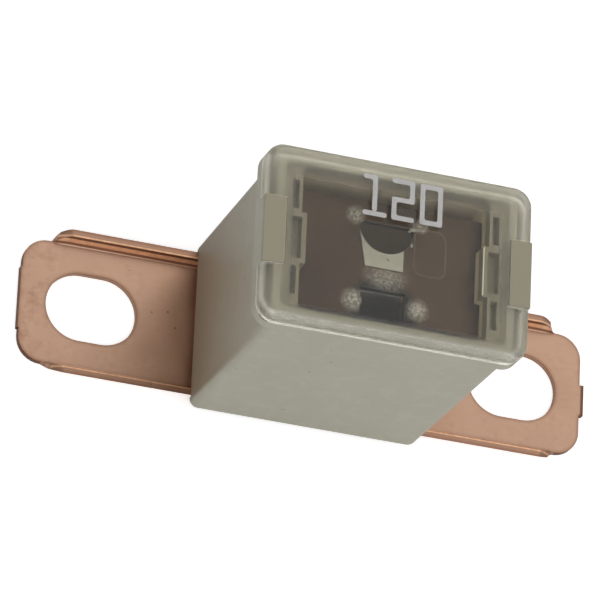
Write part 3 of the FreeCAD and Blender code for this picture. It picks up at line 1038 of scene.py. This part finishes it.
@dataclass
class Housing(Piece):
    """Moulded tube with a lip, a collar, two latch tongues and a cored shelf."""

    finish_slot: ClassVar[Slot] = Slot.HOUSING
    stands_for: ClassVar[str] = "housing"
    foot: Point = (10.8, 7.93, 0.35)
    head: Point = (11.0, 8.18, 21.54)
    wall_corner: float = 0.8
    lip: Point = (12.44, 8.27, 22.58)
    lip_corner: float = 1.75
    collar: Point = (11.2, 7.35, 23.33)
    collar_corner: float = 1.1
    tongue: Point = (10.46, 3.12, 24.16)
    cavity: tuple[float, float] = (8.7, 6.78)
    leg_way: tuple[float, float] = (9.3, 5.5)
    shelf_z: float = 21.0
    window: tuple[float, float] = (8.75, 6.78)
    window_near: tuple[float, float] = (8.25, 2.4)
    recess: tuple[float, float] = (10.4, 6.78)
    recess_floor: float = 22.93
    opening_corner: float = 0.6
    mouth: tuple[float, float] = (7.1, 1.0)
    cores: tuple[Area, ...] = ((8.7, 9.75, -1.95, 1.95), (9.05, 9.65, 2.7, 5.4), (9.05, 9.65, -5.4, -2.7))
    core_floor: float = 22.0
    ring_rounding: float = 0.22
    rounding: float = 0.12
    foot_round: float = 0.4
    sink: float = 0.5
    past: float = 1.0

    def build(self) -> Thing:
        """Model the housing.

        Returns:
            The finished mesh object.
        """
        low, high = self.foot[2], self.head[2]
        piece = Bench.rounded_block("housing_shell", self.foot[:2], low, high, self.wall_corner)
        self.draft(piece)
        Bench.bevel(piece, Element.EDGE, lambda at: all(end.z < low + NEAR for end in at), self.foot_round, 4)
        lip = Bench.rounded_block("lip", self.lip[:2], high, self.lip[2], self.lip_corner)
        Bench.combine(piece, lip, Join.ADD)
        Bench.combine(piece, self.tray(), Join.ADD)
        near_x, half_y, top = self.tongue
        start = (near_x, -half_y, self.lip[2] - self.sink)
        for side in (1, -1):
            Bench.combine(piece, Bench.block("tongue", start, (self.lip[0], half_y, top), side), Join.ADD)
        self.hollow(piece)
        Bench.settle(piece)
        Bench.soften(piece, self.rounding, segments=3)
        return piece

    def tray(self) -> Thing:
        """Collar with its recess, well rounded before it joins the lip.

        Returns:
            The collar object.
        """
        low = self.lip[2] - self.sink
        collar = Bench.rounded_block("collar", self.collar[:2], low, self.collar[2], self.collar_corner)
        above = self.collar[2] + self.past
        recess = Bench.rounded_block("recess", self.recess, self.recess_floor, above, self.opening_corner)
        Bench.combine(collar, recess, Join.CUT)
        Bench.settle(collar)
        Bench.roll(collar, self.ring_rounding, 4, 32.0)
        return collar

    def draft(self, piece: Thing) -> None:
        """Widen the top of the walls, as the mould needs.

        Args:
            piece: The straight walls.
        """
        ratio = (self.head[0] / self.foot[0], self.head[1] / self.foot[1], 1.0)
        with Bench.editing(piece, Element.VERT, lambda at: at[0].z > self.head[2] - NEAR):
            bpy.ops.transform.resize(value=ratio, center_override=(0.0, 0.0, self.head[2] * MM))

    def hollow(self, piece: Thing) -> None:
        """Cut the cavity, the leg ways, the window, the mouth and the shelf's cores.

        Args:
            piece: The solid housing.
        """
        below = self.foot[2] - self.past
        above = self.collar[2] + self.past
        far = self.lip[0] + self.past
        tools = [
            Bench.block("cavity", (-half_x, -half_y, below), (half_x, half_y, self.shelf_z))
            for half_x, half_y in (self.cavity, self.leg_way)
        ]
        tools.append(self.window_tool(above))
        half_y, top = self.mouth
        tools.append(Bench.block("mouth", (-far, -half_y, below), (far, half_y, top)))
        for side in (1, -1):
            for near_x, far_x, low_y, high_y in self.cores:
                low = (near_x, low_y, self.core_floor)
                tools.append(Bench.block("core", low, (far_x, high_y, above), side))
        for tool in tools:
            Bench.combine(piece, tool, Join.CUT)

    def window_tool(self, above: float) -> Thing:
        """Upright block that opens the window, narrower between the middle cores.

        Args:
            above: Height of its top.

        Returns:
            The tool object.
        """
        tool = Bench.rounded_block(
            "window", self.window, self.shelf_z - self.sink, above, self.opening_corner
        )
        near_x, half_y = self.window_near
        low = (near_x, -half_y, self.shelf_z - self.past)
        for side in (1, -1):
            high = (self.window[0] + self.past, half_y, above + self.past)
            Bench.combine(tool, Bench.block("rib", low, high, side), Join.CUT)
        return tool


@dataclass
class ClearCover(Piece):
    """Clear cap whose rim stands on the lip, notched round the tongues."""

    finish_slot: ClassVar[Slot] = Slot.COVER
    stands_for: ClassVar[str] = "clear_cover"
    plan: tuple[float, float] = (12.44, 8.27)
    corner: float = 1.75
    facets: int = 10
    low_z: float = 22.65
    high_z: float = 24.13
    under_z: float = 23.37
    edge_round: float = 0.55
    inside: tuple[float, float] = (11.95, 7.45)
    inside_corner: float = 1.2
    notch: tuple[float, float] = (10.42, 3.16)
    rounding: float = 0.06
    past: float = 1.0

    def build(self) -> Thing:
        """Model the cover.

        Returns:
            The finished mesh object.
        """
        below = self.low_z - self.past
        piece = Bench.rounded_block("cover_cap", self.plan, self.low_z, self.high_z, self.corner, self.facets)
        top = self.high_z - NEAR
        Bench.bevel(piece, Element.EDGE, lambda at: all(end.z > top for end in at), self.edge_round, 5)
        sizes = (below, self.under_z, self.inside_corner, self.facets)
        Bench.combine(piece, Bench.rounded_block("hollow", self.inside, *sizes), Join.CUT)
        near_x, half_y = self.notch
        high = (self.plan[0] + self.past, half_y, self.high_z + self.past)
        for side in (1, -1):
            Bench.combine(piece, Bench.block("notch", (near_x, -half_y, below), high, side), Join.CUT)
        Bench.settle(piece)
        Bench.soften(piece, self.rounding)
        return piece


@dataclass
class FuseStrip(Piece):
    """One sheet of copper: terminals with turned-up edges, legs and link."""

    finish_slot: ClassVar[Slot] = Slot.COPPER
    stands_for: ClassVar[str] = "fuse_element"
    sheet: float = 0.6
    link_z: float = 21.0
    link_half_y: float = 5.5
    leg_x: float = 9.3
    bend: float = 0.4
    waist_z: float = 0.7
    widening: float = 0.02
    tab_half_y: float = 5.88
    fold_y: float = 5.736
    flange_end: float = 24.3
    ramp: tuple[tuple[float, float], ...] = (
        (22.6, 1.0),
        (22.95, 0.92),
        (23.3, 0.75),
        (23.65, 0.52),
        (24.0, 0.26),
        (24.3, 0.001),
    )
    flange_lean: float = 65.0
    flange_rise: float = 1.0
    fold_radius: float = 0.15
    tab_end: float = 26.9
    tab_corner: float = 2.3
    nub_right: Point = (-1.8, 1.2, 0.4)
    nub_left: Point = (-2.95, 2.95, 0.15)
    slot_x: float = 20.25
    slot_half: tuple[float, float] = (4.28, 3.25)
    hole: Area = (-2.7, 2.3, 2.8, 3.6)
    hole_radius: float = 2.55
    notch: Point = (-2.4, 1.8, -2.7)
    boss: Area = (2.45, 5.4, -0.7, 3.75)
    boss_corner: float = 0.9
    boss_rise: float = 0.08
    pip_at: tuple[float, float] = (3.05, 4.05)
    pip_radius: float = 0.85
    pip_rise: float = 0.03
    rooted: float = 0.3
    rounding: float = 0.07
    past: float = 1.0

    def build(self) -> Thing:
        """Model the strip.

        Returns:
            The finished mesh object.
        """
        piece = self.link_plate()
        for side in (1, -1):
            self.bend_down(piece, side)
        for side in (1, -1):
            for edge in (1, -1):
                self.turn_up(piece, side, edge)
        self.trim_ends(piece)
        self.thicken(piece)
        self.pierce(piece)
        Bench.settle(piece)
        Bench.soften(piece, self.rounding, angle=24.0)
        return piece

    def link_plate(self) -> Thing:
        """Lay the flat of the link, as its upper surface.

        Returns:
            The flat sheet.
        """
        add = bpy.ops.mesh.primitive_plane_add
        scale = ((self.leg_x - self.bend - self.sheet) * MM, self.link_half_y * MM, 1.0)
        return Bench.primitive(add, "fuse_strip", (0.0, 0.0, self.link_z), scale, size=2.0)

    def bend_down(self, piece: Thing, side: int) -> None:
        """Draw one leg down from the link and its terminal outwards.

        Args:
            piece: The strip so far.
            side: 1 for the +X end, -1 for the -X end.
        """
        plane = (Axis.X, Axis.Z)
        reach = side * (self.leg_x - self.bend - self.sheet)
        high = self.link_z - self.bend - self.sheet
        heel = side * self.leg_x
        foot = side * (self.leg_x + self.bend)
        stops = (side * foot, *(across for across, _ in self.ramp), self.tab_end)
        with Bench.editing(piece, Element.EDGE, lambda ends: all(abs(end.x - reach) < NEAR for end in ends)):
            Bench.pull(Bench.bow((reach, 0, high), (reach, 0, self.link_z), plane, -90 * side, 7))
            Bench.pull([(0, 0, self.waist_z - high), (0, 0, -self.widening)])
            widen = self.fold_y / self.link_half_y
            bpy.ops.transform.resize(value=(1.0, widen, 1.0), center_override=(0.0, 0.0, 0.0))
            Bench.pull([(0, 0, self.bend - self.waist_z + self.widening)])
            Bench.pull(Bench.bow((foot, 0, self.bend), (heel, 0, self.bend), plane, 90 * side, 6))
            Bench.pull([(side * (after - before), 0, 0) for before, after in zip(stops, stops[1:])])

    def turn_up(self, piece: Thing, side: int, edge: int) -> None:
        """Fold one long edge of a terminal up and lower its end along a curved ramp.

        Args:
            piece: The strip so far.
            side: 1 for the +X end, -1 for the -X end.
            edge: 1 for the +Y edge, -1 for the -Y edge.
        """
        foot = self.leg_x + self.bend - NEAR
        line = edge * self.fold_y

        def along(ends: Sequence[Vector]) -> bool:
            """Whether an edge lies on the fold line."""
            on_line = all(abs(end.y - line) < NEAR and abs(end.z) < NEAR for end in ends)
            return on_line and all(foot < side * end.x < self.flange_end + NEAR for end in ends)

        start = (0.0, line, 0.0)
        centre = (0.0, line, self.fold_radius)
        moves = Bench.bow(centre, start, (Axis.Y, Axis.Z), self.flange_lean * edge, 4)
        rest = self.flange_rise - sum(move[2] for move in moves)
        with Bench.editing(piece, Element.EDGE, along):
            Bench.pull([*moves, (0, edge * rest / math.tan(math.radians(self.flange_lean)), rest)])
        for across, share in self.ramp[1:]:
            tip = side * across

            def raised(at: Sequence[Vector]) -> bool:
                """Whether a corner stands on the flange at this stop of the ramp."""
                return abs(at[0].x - tip) < NEAR and edge * at[0].y > self.fold_y - NEAR

            with Bench.editing(piece, Element.VERT, raised):
                pivot = (tip * MM, line * MM, 0.0)
                bpy.ops.transform.resize(value=(1.0, share, share), center_override=pivot)
                bpy.ops.mesh.remove_doubles(threshold=0.003 * MM)

    def trim_ends(self, piece: Thing) -> None:
        """Widen the terminals' ends, round their corners and leave the shear nubs.

        Args:
            piece: The strip so far.
        """
        end = self.tab_end
        widen = (1.0, self.tab_half_y / self.fold_y, 1.0)
        tail = self.flange_end - NEAR
        with Bench.editing(piece, Element.VERT, lambda at: abs(at[0].x) > tail):
            bpy.ops.transform.resize(value=widen, center_override=(0.0, 0.0, 0.0))
        Bench.bevel(piece, Element.VERT, lambda at: abs(abs(at[0].x) - end) < NEAR, self.tab_corner, 9)
        for side, (low, high, proud) in ((1, self.nub_right), (-1, self.nub_left)):
            for cut in (low, high):
                with Bench.editing(piece, Element.FACE, lambda at: all(side * one.x > tail for one in at)):
                    bpy.ops.mesh.bisect(plane_co=(0.0, cut * MM, 0.0), plane_no=(0.0, 1.0, 0.0))

            def nub(ends: Sequence[Vector]) -> bool:
                """Whether an edge ends the terminal between the two cuts."""
                last = all(abs(side * one.x - end) < NEAR for one in ends)
                return last and all(low - NEAR < one.y < high + NEAR for one in ends)

            with Bench.editing(piece, Element.EDGE, nub):
                Bench.pull([(side * proud, 0, 0)])

    def thicken(self, piece: Thing) -> None:
        """Give the sheet its thickness below its upper surface, and square the turned-up rims.

        Args:
            piece: The strip so far.
        """
        with Bench.editing(piece):
            bpy.ops.mesh.remove_doubles(threshold=0.001 * MM)
            bpy.ops.mesh.normals_make_consistent(inside=False)
        up = max(piece.data.polygons, key=lambda face: face.center.z).normal.z > 0
        offset = -1.0 if up else 1.0
        Bench.modify(piece, "SOLIDIFY", thickness=self.sheet * MM, offset=offset, use_even_offset=False)
        lean = math.radians(self.flange_lean)
        lift = self.sheet * math.cos(lean)
        outer = self.fold_y + self.sheet
        for edge in (1, -1):

            def rim(at: Sequence[Vector]) -> bool:
                """Whether a corner is the outer one of a turned-up rim."""
                return self.fold_radius < at[0].z < 2 * self.flange_rise and edge * at[0].y > outer

            with Bench.editing(piece, Element.VERT, rim):
                bpy.ops.transform.translate(value=(0.0, edge * lift / math.tan(lean) * MM, lift * MM))

    def pierce(self, piece: Thing) -> None:
        """Punch the stud slots and the link's openings, and raise the link's boss and pips.

        Args:
            piece: The bent strip.
        """
        below = self.link_z - self.sheet - self.past
        above = self.link_z + self.past
        sizes = (-self.sheet - self.past, self.past, self.slot_half[1] - 0.1 * NEAR, 14)
        for side in (1, -1):
            slot = Bench.rounded_block("slot", self.slot_half, *sizes, middle=(side * self.slot_x, 0.0))
            Bench.combine(piece, slot, Join.CUT)
        Bench.combine(piece, self.hole_punch(below, above), Join.CUT)
        left, right, top = self.notch
        low = (left, -self.link_half_y - self.past, below)
        Bench.combine(piece, Bench.block("notch", low, (right, top, above)), Join.CUT)
        left, right, low_y, high_y = self.boss
        half = ((right - left) / 2, (high_y - low_y) / 2)
        middle = ((left + right) / 2, (low_y + high_y) / 2)
        root, top = self.link_z - self.rooted, self.link_z + self.boss_rise
        boss = Bench.rounded_block("boss", half, root, top, self.boss_corner, middle=middle)
        Bench.combine(piece, boss, Join.ADD)
        centre_z = self.link_z + self.pip_rise - self.rooted / 2
        for across in (self.pip_at[0], -self.pip_at[0]):
            for up in (self.pip_at[1], -self.pip_at[1]):
                pip = Bench.disc("pip", (across, up, centre_z), self.pip_radius, self.rooted, 28)
                Bench.combine(piece, pip, Join.ADD)

    def hole_punch(self, low_z: float, high_z: float) -> Thing:
        """Tool with the outline of the link's round-bottomed hole.

        Args:
            low_z: Height of its underside.
            high_z: Height of its top.

        Returns:
            The tool object.
        """
        left, right, side_y, top = self.hole
        drop = math.sqrt(self.hole_radius**2 - ((right - left) / 2) ** 2)
        centre = ((left + right) / 2, side_y + drop, (low_z + high_z) / 2)
        tool = Bench.disc("hole", centre, self.hole_radius, high_z - low_z, 64)
        level = {"plane_co": (0.0, side_y * MM, 0.0), "plane_no": (0.0, 1.0, 0.0)}
        with Bench.editing(tool):
            bpy.ops.mesh.bisect(use_fill=True, clear_outer=True, **level)
        with Bench.editing(tool, Element.FACE, lambda at: all(abs(one.y - side_y) < NEAR for one in at)):
            Bench.pull([(0, top - side_y, 0)])
        return tool


@dataclass
class TinPad(Piece):
    """Pad of tin on the neck, open over the link's hole."""

    strip: FuseStrip
    finish_slot: ClassVar[Slot] = Slot.TIN
    stands_for: ClassVar[str] = "tin_overlay"
    left: float = -2.7
    foot_left: float = -2.1
    right: float = 1.45
    low: float = -0.7
    high: float = 2.8
    rise: float = 0.15
    dot: Point = (-0.05, 0.15, 0.16)
    dot_depth: float = 0.1
    past: float = 1.0
    rounding: float = 0.04

    def build(self) -> Thing:
        """Model the pad.

        Returns:
            The finished mesh object.
        """
        base = self.strip.link_z
        top = base + self.rise
        piece = Bench.block("tin_pad", (self.left, self.low, base), (self.right, self.high, top))
        far = Vector((self.left, self.low))
        with Bench.editing(piece, Element.VERT, lambda at: (at[0].xy - far).length < NEAR):
            bpy.ops.transform.translate(value=((self.foot_left - self.left) * MM, 0.0, 0.0))
        Bench.combine(piece, self.strip.hole_punch(base - self.past, top + self.past), Join.CUT)
        across, up, radius = self.dot
        punch = Bench.disc("dot", (across, up, top + self.dot_depth), radius, 4 * self.dot_depth, 20)
        Bench.combine(piece, punch, Join.CUT)
        Bench.settle(piece)
        Bench.soften(piece, self.rounding)
        return piece


@dataclass
class TinSplashes(Piece):
    """Small flattened beads of tin that ran onto the link beside its hole."""

    finish_slot: ClassVar[Slot] = Slot.TIN
    base_z: float = 21.0
    rise: float = 0.12
    uneven: float = 0.02
    beads: tuple[Area, ...] = (
        (2.28, 3.55, 0.34, 0.2),
        (2.75, 3.62, 0.2, 0.16),
        (3.2, 3.66, 0.26, 0.2),
        (1.95, 3.3, 0.16, 0.12),
        (2.2, 2.05, 0.13, 0.22),
        (-3.55, 4.1, 0.16, 0.3),
    )

    def build(self) -> Thing:
        """Model the beads.

        Returns:
            The finished mesh object.
        """
        add = bpy.ops.mesh.primitive_ico_sphere_add
        beads = [
            Bench.primitive(
                add, "bead", (across, up, self.base_z), (half_x, half_y, self.rise), subdivisions=3, radius=MM
            )
            for across, up, half_x, half_y in self.beads
        ]
        piece = Bench.gather([beads[-1], *beads[:-1]], "tin_splashes")
        with Bench.editing(piece):
            bpy.ops.transform.vertex_random(offset=self.uneven * MM, seed=7)
        bpy.ops.object.shade_smooth()
        return piece


@dataclass
class RatingPrint(Piece):
    """The printed number, one thin closed mesh for each stroke path."""

    finish_slot: ClassVar[Slot] = Slot.COVER
    base_z: float = 24.14
    thick: float = 0.016
    corner: float = 0.2
    stroke: float = 0.45
    paths: tuple[tuple[tuple[float, float], ...], ...] = (
        ((-3.3, 6.57), (-2.41, 6.57), (-2.41, 3.56)),
        ((-3.27, 3.11), (-1.48, 3.11)),
        ((-0.6, 6.62), (1.07, 6.62), (1.07, 4.85), (-0.6, 4.85), (-0.6, 3.11), (1.07, 3.11)),
        ((2.04, 3.16), (2.04, 6.57), (3.7, 6.57), (3.7, 3.16), (2.04, 3.16)),
    )

    def build(self) -> Thing:
        """Model the strokes."""
        return Bench.gather([self.lay(path) for path in self.paths], "rating_print")

    def lay(self, path: Sequence[tuple[float, float]]) -> Thing:
        """Draw one path of upright and level strokes as a flat ribbon, then thicken it.

        Args:
            path: Corners of its centre line.

        Returns:
            The ribbon.
        """
        add = bpy.ops.mesh.primitive_plane_add
        piece = Bench.primitive(add, "ribbon", (*path[0], self.base_z), size=self.stroke * MM)
        for start, end in zip(path, path[1:]):
            self.run(piece, start, end)
        with Bench.editing(piece):
            bpy.ops.mesh.remove_doubles(threshold=0.01 * self.stroke * MM)
            bpy.ops.mesh.dissolve_limited(angle_limit=math.radians(1.0))
        with Bench.editing(piece, Element.VERT):
            bpy.ops.mesh.bevel(offset=self.corner * MM, segments=4, affect="VERTICES", clamp_overlap=True)
            bpy.ops.mesh.select_all(action="SELECT")
            bpy.ops.mesh.normals_make_consistent(inside=False)
        Bench.modify(piece, "SOLIDIFY", thickness=self.thick * MM, offset=0.0)
        return piece

    def run(self, piece: Thing, start: tuple[float, float], end: tuple[float, float]) -> None:
        """Carry the ribbon from one corner of its path to the next.

        Args:
            piece: The ribbon so far.
            start: The corner it stands at.
            end: The next corner.
        """
        half = self.stroke / 2
        axis = 0 if abs(end[0] - start[0]) > abs(end[1] - start[1]) else 1
        other = 1 - axis
        sign = 1.0 if end[axis] > start[axis] else -1.0
        front = start[axis] + sign * half

        def leading(ends: Sequence[Vector]) -> bool:
            """Whether an edge is the front of the square at the corner."""
            level = all(abs(one[axis] - front) < NEAR for one in ends)
            return level and all(abs(one[other] - start[other]) < half + NEAR for one in ends)

        long = abs(end[axis] - start[axis]) - self.stroke
        ahead = (sign, 0.0, 0.0) if axis == 0 else (0.0, sign, 0.0)
        with Bench.editing(piece, Element.EDGE, leading):
            Bench.pull([tuple(part * length for part in ahead) for length in (long, self.stroke)])


# Studio


@dataclass
class Studio:
    """Pale floor, soft light and the camera at the photograph's viewing angle."""

    floor_z: float = -0.6
    floor_size: float = 4.0
    floor_pale: Colour = (0.86, 0.86, 0.86)
    # Painted shadow colour for the floor under the housing.
    floor_painted_shadow: Colour = (0.05, 0.045, 0.04)
    floor_glow: float = 0.55
    camera_at: Point = (-0.17239905, -0.22079606, 0.50005296)
    right: Point = (0.93871559, 0.04311065, 0.34198613)
    up: Point = (-0.1716006, 0.91890953, 0.35518799)
    back: Point = (-0.29894193, -0.39210553, 0.86999252)
    lens: float = 380.4366
    footprint: tuple[float, float] = (9.7, 7.1)
    fade: float = 0.35
    ambient: float = 0.42
    bright_side: Point = (0.0, -0.95, 0.31)
    front_gain: float = 0.35
    lamps: tuple[tuple[str, Point, float, float], ...] = (
        ("key", (-0.06, -0.60, 0.75), 0.55, 1.7),
        ("fill", (0.60, -0.25, 0.45), 0.60, 0.8),
        ("rim", (0.25, 0.64, 0.60), 0.50, 1.6),
    )

    def build(self) -> None:
        """Set the whole studio."""
        bpy.context.scene.view_settings.view_transform = "Standard"
        self.camera()
        self.floor()
        self.world()
        for lamp in self.lamps:
            self.lamp(*lamp)

    def camera(self) -> None:
        """Place the camera."""
        data = bpy.data.cameras.new("view_camera")
        data.lens = self.lens
        data.sensor_width = 36.0
        data.clip_start = 0.01
        data.clip_end = 20.0
        camera = bpy.data.objects.new("view_camera", data)
        bpy.context.collection.objects.link(camera)
        turn = Matrix((self.right, self.up, self.back)).transposed()
        camera.matrix_world = Matrix.Translation(self.camera_at) @ turn.to_4x4()
        bpy.context.scene.camera = camera

    def lamp(self, name: str, at: Point, size: float, power: float) -> None:
        """Add one soft lamp aimed at the object.

        Args:
            name: Name of the lamp.
            at: Its place in metres.
            size: Its width in metres.
            power: Its power in watts.
        """
        data = bpy.data.lights.new(name, "AREA")
        data.shape = "SQUARE"
        data.size = size
        data.energy = power
        lamp = bpy.data.objects.new(name, data)
        bpy.context.collection.objects.link(lamp)
        lamp.location = at
        lamp.rotation_euler = (Vector((0, 0, 0.01)) - Vector(at)).to_track_quat("-Z", "Y").to_euler()

    @staticmethod
    def seen(nodes: Nodes) -> Level:
        """Mask of camera and transmission rays."""
        rays = nodes.add("ShaderNodeLightPath").outputs
        return nodes.math("MAXIMUM", rays["Is Camera Ray"], rays["Is Transmission Ray"])

    def floor(self) -> None:
        """Lay the pale floor just under the terminals, with a painted shadow where the housing stands over
        it.
        """
        add = bpy.ops.mesh.primitive_plane_add
        floor = Bench.primitive(add, "studio_floor", (0.0, 0.0, self.floor_z), size=self.floor_size)
        paint = Paint("pale_floor")
        at = paint.at
        half_x, half_y = self.footprint
        # Painted shadow under the housing's footprint.
        shade = abs(at.x).ramp(half_x, -1.0 / self.fade) * abs(at.y).ramp(half_y, -1.0 / self.fade)
        glow = self.seen(paint) * self.floor_glow * (shade < 0.001)
        paint.put({"Base Color": paint.layers(self.floor_pale, (shade, self.floor_painted_shadow)), "Roughness": 0.9})
        paint.put({"Specular IOR Level": 0.0, "Emission Color": WHITE, "Emission Strength": glow})
        floor.data.materials.append(paint.material)

    def world(self) -> None:
        """Soft surroundings, brighter in front, that show as plain white."""
        world = bpy.data.worlds.new("studio_world")
        bpy.context.scene.world = world
        world.use_nodes = True
        nodes = Nodes(world.node_tree)
        place = nodes.add("ShaderNodeTexCoord").outputs["Generated"]
        level = nodes.dot(place, self.bright_side).highest(0.0) * self.front_gain + self.ambient
        shown = self.seen(nodes)
        back = world.node_tree.nodes["Background"]
        nodes.feed(back.inputs["Color"], WHITE)
        nodes.feed(back.inputs["Strength"], level * (1.0 - shown) + shown)


def main() -> None:
    """Set the studio, and build and dress the pieces in order."""
    logging.basicConfig(level=logging.INFO, format="%(name)s %(message)s")
    effects = Effects()
    Studio().build()
    strip = FuseStrip()
    tin = DullTin().material(effects)
    for piece, material in (
        (Housing(), MouldedPlastic().material(effects)),
        (strip, RolledCopper().material(effects)),
        (TinPad(strip), tin),
        (TinSplashes(), tin),
        (ClearCover(), ClearPlastic().material(effects)),
        (RatingPrint(), PrintedInk().material(effects)),
    ):
        piece.dress(piece.build(), material)


if __name__ == "__main__":
    main()
